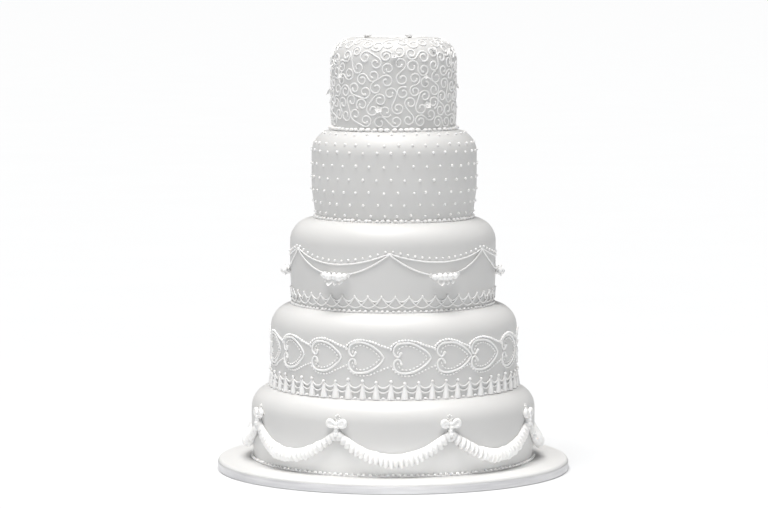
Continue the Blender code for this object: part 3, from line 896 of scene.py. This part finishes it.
def build_spray(tier, number):
    """Plump buds side by side among pointed petals, a few of which hang below."""
    heap = Heap()
    angle = SPRAY_TURN + (number - 1) * 360.0 / SPRAYS
    level = SPRAY_HEIGHT - SPRAY_DROPS[number - 1]
    mound = on_tier(tier, [(0.0, 0.0004)], angle, level, 0.0022)
    pearls(heap, *mound, (0.0165, 0.0050, 0.0062), peak=0.0, sides=24, rings=10, jitter=0.0)
    for x, y, size in SPRAY_BUDS:
        place = [(x + rng.normal(0, 0.0004), y + rng.normal(0, 0.0005))]
        points, normals = on_tier(tier, place, angle, level, 0.0026)
        axes = turned_axes(frames(normals)[0], rng.uniform(0, 6.28))
        rosebud(heap, points[0], tipped_axes(axes, rng.uniform(-0.2, 0.2)), size * rng.uniform(0.95, 1.05))
    for group, tip, out in SPRAY_PETALS:
        for x, y, turn, length in group:
            points, normals = on_tier(tier, [(x, y)], angle, level, out)
            axes = turned_axes(frames(normals)[0], math.radians(turn + rng.normal(0, 7)))
            reach = length * rng.uniform(0.86, 1.08) * (SPRAY_HANGS[number - 1] if y < 0 else 1.0)
            petal(heap, points[0], tipped_axes(axes, tip), reach, width=1.1, lift=0.7)
    piped(f"petal_spray_{number}", heap, f"spray_{number}")


def heart_place(number):
    """The heart's tip and its left edge, in degrees, and its half length."""
    tip = HEART_TIP + number * 360.0 / HEARTS + HEART_DRIFT.get(number % HEARTS, 0.0)
    half = HEART_HALF[0] * (1.0 + 0.07 * math.sin(2 * math.radians(tip - 4.0)))
    return tip, tip - math.degrees(2 * half / HEARTS_TIER.radius), half


def build_hearts(tier):
    """Each heart's line, thick and thin by turns, the beads inside it and the chains round it."""
    lines, inner, chain = Heap(), Heap(), Heap()
    swell = np.interp(np.linspace(0, 1, 60), (0, 0.06, 0.4, 0.8, 1.0), (1.3, 0.9, 1.12, 0.95, 0.85))
    for number in range(HEARTS):
        tip, edge, half = heart_place(number)
        middle = (tip + edge) / 2
        start, stop = edge - 1.0, heart_place(number + 1)[1] - 1.0
        flat = rng.normal(1.0, 0.015)
        for flip in (1, -1):
            size = np.array((half, HEART_HALF[1] * flip * flat))
            lobe = np.array(UPPER_LOBE) * size + rng.normal(0, 0.00015, (len(UPPER_LOBE), 2))
            plan = smooth_line(lobe, 60)
            tube(lines, *on_tier(tier, plan, middle, HEART_HEIGHT, 0.0005), HEART_LINE * swell, sides=9)
            plan = smooth_line(np.array(UPPER_INNER) * size, 60)
            bead_line(inner, tier, plan, middle, HEART_HEIGHT, INNER_GAP, INNER_BEAD, 1.75)
            knob = (-0.585, 0.33 if flip > 0 else 0.37)
            place = on_tier(tier, [np.array(knob) * size], middle, HEART_HEIGHT, 0.0010)
            pearls(lines, *place, (0.00185,) * 3)
        reach = math.radians(stop - start) * tier.radius
        for shape, size, gap in CHAINS:
            plan = smooth_line(np.array(shape) * (reach, HEART_HALF[1]), 90)
            bead_line(chain, tier, plan, start, HEART_HEIGHT, gap, size, 1.38, sides=9, rings=5)
    piped("heart_lines", lines)
    piped("heart_inner_beads", inner)
    piped("heart_chains", chain)


def build_fence(tier):
    """Fluted spikes with a pearl on each, two strings from one to the next, and beads at their feet."""
    cones, beads, strings = Heap(), Heap(), Heap()
    step = 360.0 / SPIKES
    height, girth = np.array(SPIKE_HEIGHTS), np.array(SPIKE_GIRTHS)
    sides = 20
    ring = np.linspace(0.0, 2 * math.pi, sides, endpoint=False)
    for spike in range(SPIKES):
        angle = FENCE_TURN + (spike + 0.5) * step + rng.normal(0.0, 0.25)
        tall = rng.normal(1.0, 0.025)
        wide = rng.normal(1.0, 0.06)
        points, normals = surface(tier, angle, height * tall, 0.0004)
        points[0, 2] = FEET[tier.name]
        across = np.array((math.cos(math.radians(angle)), math.sin(math.radians(angle)), 0.0))
        flute = 1.0 + 0.10 * np.cos(8 * ring + rng.uniform(0, 6.28))
        spread = np.cos(ring)[:, None] * across * wide + 0.92 * np.sin(ring)[:, None] * normals[0]
        rings = points[:, None] + (girth[:, None] * flute)[..., None] * spread[None]
        ringed_body(cones, rings, (points[0], points[-1] + (0.0, 0.0, 0.0004)))
        pearls(beads, *surface(tier, angle, SPIKE_PEARL_HEIGHT * tall, 0.0014), SPIKE_PEARL)
        for high in FENCE_STRINGS:
            start, end = (angle, high), (angle + step, high)
            path = sag_line(tier, start, end, rng.normal(FENCE_SAG, 0.0004), out=0.0012)
            tube(strings, *path, FENCE_STRING)
        pearls(beads, *surface(tier, angle + step / 2, 0.0017, 0.0010), FOOT_BEAD, jitter=0.1)
    fill_joint(beads, tier, 0.0009)
    piped("fence_spikes", cones)
    piped("fence_pearls", beads)
    piped("fence_strings", strings)


def build_garland(tier, number):
    """Ribs of piped icing side by side, smooth along the top, their pointed lower ends hanging free."""
    half_span = 180.0 / GARLANDS
    middle = (number - 1) * 2 * half_span
    steps = np.array((0.0, 0.05, 0.12, 0.22, 0.35, 0.5, 0.65, 0.78, 0.88, 0.95))
    ribs = np.append((np.arange(GARLAND_RIBS)[:, None] + steps).ravel(), GARLAND_RIBS)
    knots = np.arange(GARLAND_RIBS + 1)
    drift = np.interp(ribs, knots, rng.standard_normal(GARLAND_RIBS + 1))
    vary = 1.0 + 0.05 * np.interp(ribs, knots, rng.standard_normal(GARLAND_RIBS + 1))
    hang = 1.0 + 0.09 * np.interp(ribs, knots + 0.5, rng.standard_normal(GARLAND_RIBS + 1))
    share = (2.0 * (ribs + 0.10 * drift * np.sin(math.pi * ribs) ** 2) / GARLAND_RIBS - 1.0) * 0.985
    ridge = np.abs(np.sin(math.pi * ribs))[:, None]
    grow = np.cos(share * math.pi / 2).clip(0, 1) ** 0.75
    half_width = (GARLAND_WIDTHS[0] + GARLAND_WIDTHS[1] * grow) * vary
    depth = (GARLAND_DEPTHS[0] + GARLAND_DEPTHS[1] * grow) * vary
    height = GARLAND_LOW + (GARLAND_PEAK - GARLAND_LOW) * share**2
    slope = 2 * (GARLAND_PEAK - GARLAND_LOW) * share / (math.radians(half_span) * tier.radius)
    lean = np.arctan(slope) * 0.8
    section = smooth_line(GARLAND_SECTION, 26)
    out, up = section[:, 0], section[:, 1]
    lowness = np.clip(0.5 - 0.5 * up, 0.0, 1.0)
    up = np.where(up < 0, up * (0.46 + 0.54 * ridge**0.85) * hang[:, None], up)
    out = out * (1.0 - (GARLAND_CREASES[number - 1] + 0.46 * lowness) * (1.0 - ridge**0.8))
    rise = up * half_width[:, None] * np.cos(lean)[:, None]
    along = -up * half_width[:, None] * np.sin(lean)[:, None]
    angle = middle + share[:, None] * half_span + np.degrees(along / tier.radius)
    points, _ = surface(tier, angle, height[:, None] + rise, GAP + 0.0002 + out * depth[:, None])
    rows, columns = points.shape[:2]
    heap = Heap()
    ends = [list(range(columns))[::-1]], [[(rows - 1) * columns + i for i in range(columns)]]
    heap.add(points, grid_faces(rows, columns), *ends)
    # The garland takes the darker copy of the piped icing, which is painted shade.
    piped(f"ruffled_garland_{number}", heap, f"garland_{number}", look=ruffle_painted_shade)


def build_bow(tier, number):
    """Two plump teardrop loops, a knotted stem down to the garlands, and a crest of small pearls."""
    heap = Heap()
    angle = (number - 0.5) * 360.0 / GARLANDS
    swell = np.interp(np.linspace(0, 1, 40), (0, 0.2, 0.55, 0.85, 1), (0.55, 1.0, 1.15, 1.0, 0.6))
    for side in (1, -1):
        stretch = (side * rng.uniform(0.94, 1.04), rng.uniform(0.80, 0.92))
        plan = smooth_line(np.array(BOW_LOOP) * stretch, 40)
        tube(heap, *on_tier(tier, plan, angle, BOW_HEIGHT, 0.0036), BOW_LINE * swell, sides=12)
        place = on_tier(tier, [(side * 0.0078, 0.0004)], angle, BOW_HEIGHT, 0.0022)
        pearls(heap, *place, (0.0044, 0.0037, 0.0034), peak=0.0, sides=12, rings=7)
    for x, y, wide, tall in BOW_STEM:
        place = on_tier(tier, [(x, y)], angle + rng.normal(0, 0.08), BOW_HEIGHT, 0.0034)
        pearls(heap, *place, (wide, tall, wide * 1.2), sides=12, rings=7)
    for x, y, size in BOW_CREST:
        place = on_tier(tier, [(x, y)], angle, BOW_HEIGHT, size * 0.6)
        pearls(heap, *place, (size,) * 3, sides=8, rings=4)
    piped(f"piped_bow_{number}", heap, f"bow_{number}")


def build_bottom_border(tier):
    """The row of small beads round the foot."""
    heap = Heap()
    border(heap, tier, *BOTTOM_BORDER, rise=1.0, out=0.8, stretch=1.15)
    piped("bottom_border", heap)


build_board()
for tier in TIERS:
    build_tier(tier)
build_scrollwork(TOP)
build_blossoms(TOP)
build_top_border(TOP)
build_pearl_rows(PEARLS_TIER)
build_swags(SPRAYS_TIER)
build_scallops(SPRAYS_TIER)
for number in range(1, SPRAYS + 1):
    build_spray(SPRAYS_TIER, number)
build_hearts(HEARTS_TIER)
build_fence(HEARTS_TIER)
for number in range(1, GARLANDS + 1):
    build_garland(BOTTOM, number)
    build_bow(BOTTOM, number)
build_bottom_border(BOTTOM)


def aim(thing, target):
    """Turns a camera or a light towards a point."""
    thing.rotation_euler = (Vector(target) - thing.location).to_track_quat("-Z", "Y").to_euler()


def add_camera():
    """Its frame is laid out so that a metre at the cake's axis has its given number of pixels."""
    data = bpy.data.cameras.new("camera")
    camera = add_object("camera", data)
    data.sensor_width = 36.0
    data.lens = 36.0 * PIXELS_A_METRE * CAMERA_DISTANCE / FRAME_WIDTH
    data.clip_end = 1000.0
    camera.location = (CAMERA_ACROSS, -CAMERA_DISTANCE, CAMERA_HEIGHT)
    drop = (MIDDLE_ROW - HORIZON_ROW) / PIXELS_A_METRE
    aim(camera, (CAMERA_ACROSS, 0.0, CAMERA_HEIGHT - drop))
    bpy.context.scene.camera = camera


def add_sun(name, direction, strength, width, tint):
    """A broad even light from a direction, width degrees across."""
    data = bpy.data.lights.new(name, "SUN")
    data.energy = strength
    data.angle = math.radians(width)
    data.color = tint
    light = add_object(name, data)
    light.location = direction
    aim(light, (0.0, 0.0, 0.0))


def add_softbox(name, place, target, size, energy, spread=180.0):
    """A rectangular soft light, its beam spread degrees wide."""
    data = bpy.data.lights.new(name, "AREA")
    data.shape = "RECTANGLE"
    data.size, data.size_y = size
    data.energy = energy
    data.spread = math.radians(spread)
    light = add_object(name, data)
    light.location = place
    light.visible_camera = False
    aim(light, target)


def add_stage():
    """A pale floor and even studio light, strongest from above."""
    mesh = bpy.data.meshes.new("floor")
    corners = [(x * FLOOR_REACH, y * FLOOR_REACH, 0.0) for x, y in ((-1, -1), (1, -1), (1, 1), (-1, 1))]
    mesh.from_pydata(corners, [], [(0, 1, 2, 3)])
    floor = add_object("floor", mesh)
    look = Look("floor_paper", {"Roughness": 0.9})
    look.link(look.ramp(look.noise(3.0), (0.716, 0.726, 0.738), (0.722, 0.732, 0.744)), "Base Color")
    mesh.materials.append(look.material)

    world = bpy.data.worlds.new("studio")
    bpy.context.scene.world = world
    world.use_nodes = True
    back = world.node_tree.nodes["Background"]
    back.inputs["Color"].default_value = (0.97, 0.985, 1.0, 1.0)
    back.inputs["Strength"].default_value = 0.17
    add_sun("overhead", (-0.08, -0.175, 1.0), 4.05, 42.0, (1.0, 0.985, 0.968))
    add_softbox("front_softbox", (-0.05, -0.62, 0.04), (0.0, 0.0, 0.03), (1.2, 0.12), 0.4)
    for angle, energy in FOOT_STRIPS:
        turn = math.radians(angle)
        place = (STRIP_DISTANCE * math.sin(turn), -STRIP_DISTANCE * math.cos(turn), STRIP_HEIGHT)
        add_softbox("foot_strip", place, (0.0, 0.0, 0.030), STRIP_SIZE, energy, STRIP_SPREAD)
    bpy.context.scene.view_settings.view_transform = "Standard"


add_camera()
add_stage()
